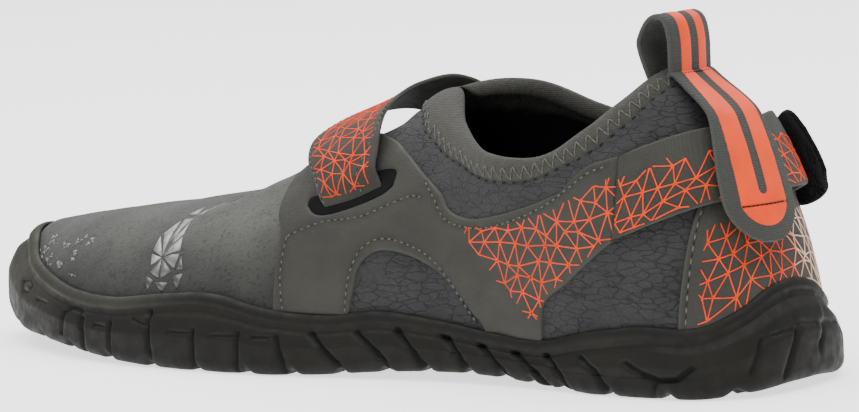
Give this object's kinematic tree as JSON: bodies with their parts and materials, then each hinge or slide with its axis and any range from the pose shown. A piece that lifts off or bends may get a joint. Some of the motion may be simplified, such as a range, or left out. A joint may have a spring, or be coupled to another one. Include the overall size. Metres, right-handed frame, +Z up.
{
  "type": "water shoe",
  "caption": "Slip-on water shoe for the right foot with an open collar, a grooved cup sole, strap overlays and a heel pull loop.",
  "frame": {"origin": "middle of the bounding box at the floor, where the flat parts of the sole stand", "axes": "+X from the toe to the heel, +Y to the lateral side, +Z up"},
  "size_m": [0.275, 0.0986, 0.0965],
  "materials": {
    "rubber_sole": "matt moulded rubber",
    "upper_cloth": "foam-backed stretch cloth with a fine crackled print",
    "footbed": "dark cloth over thin foam",
    "overlay": "matt synthetic overlay",
    "strap": "flat stretch band with a printed net",
    "hook": "black hook-and-loop cloth",
    "webbing": "woven webbing with two stripes"
  },
  "bodies": {
    "root": {"outsole": "rubber_sole", "upper": "upper_cloth", "insole": "footbed", "cage_medial": "overlay", "cage_lateral": "overlay", "heel_counter": "overlay", "heel_strap": "strap", "heel_hook_tab": "hook", "instep_strap": "strap", "instep_hook_tab": "hook", "bridge_strap": "webbing", "pull_loop": "webbing"}
  },
  "joints": []
}
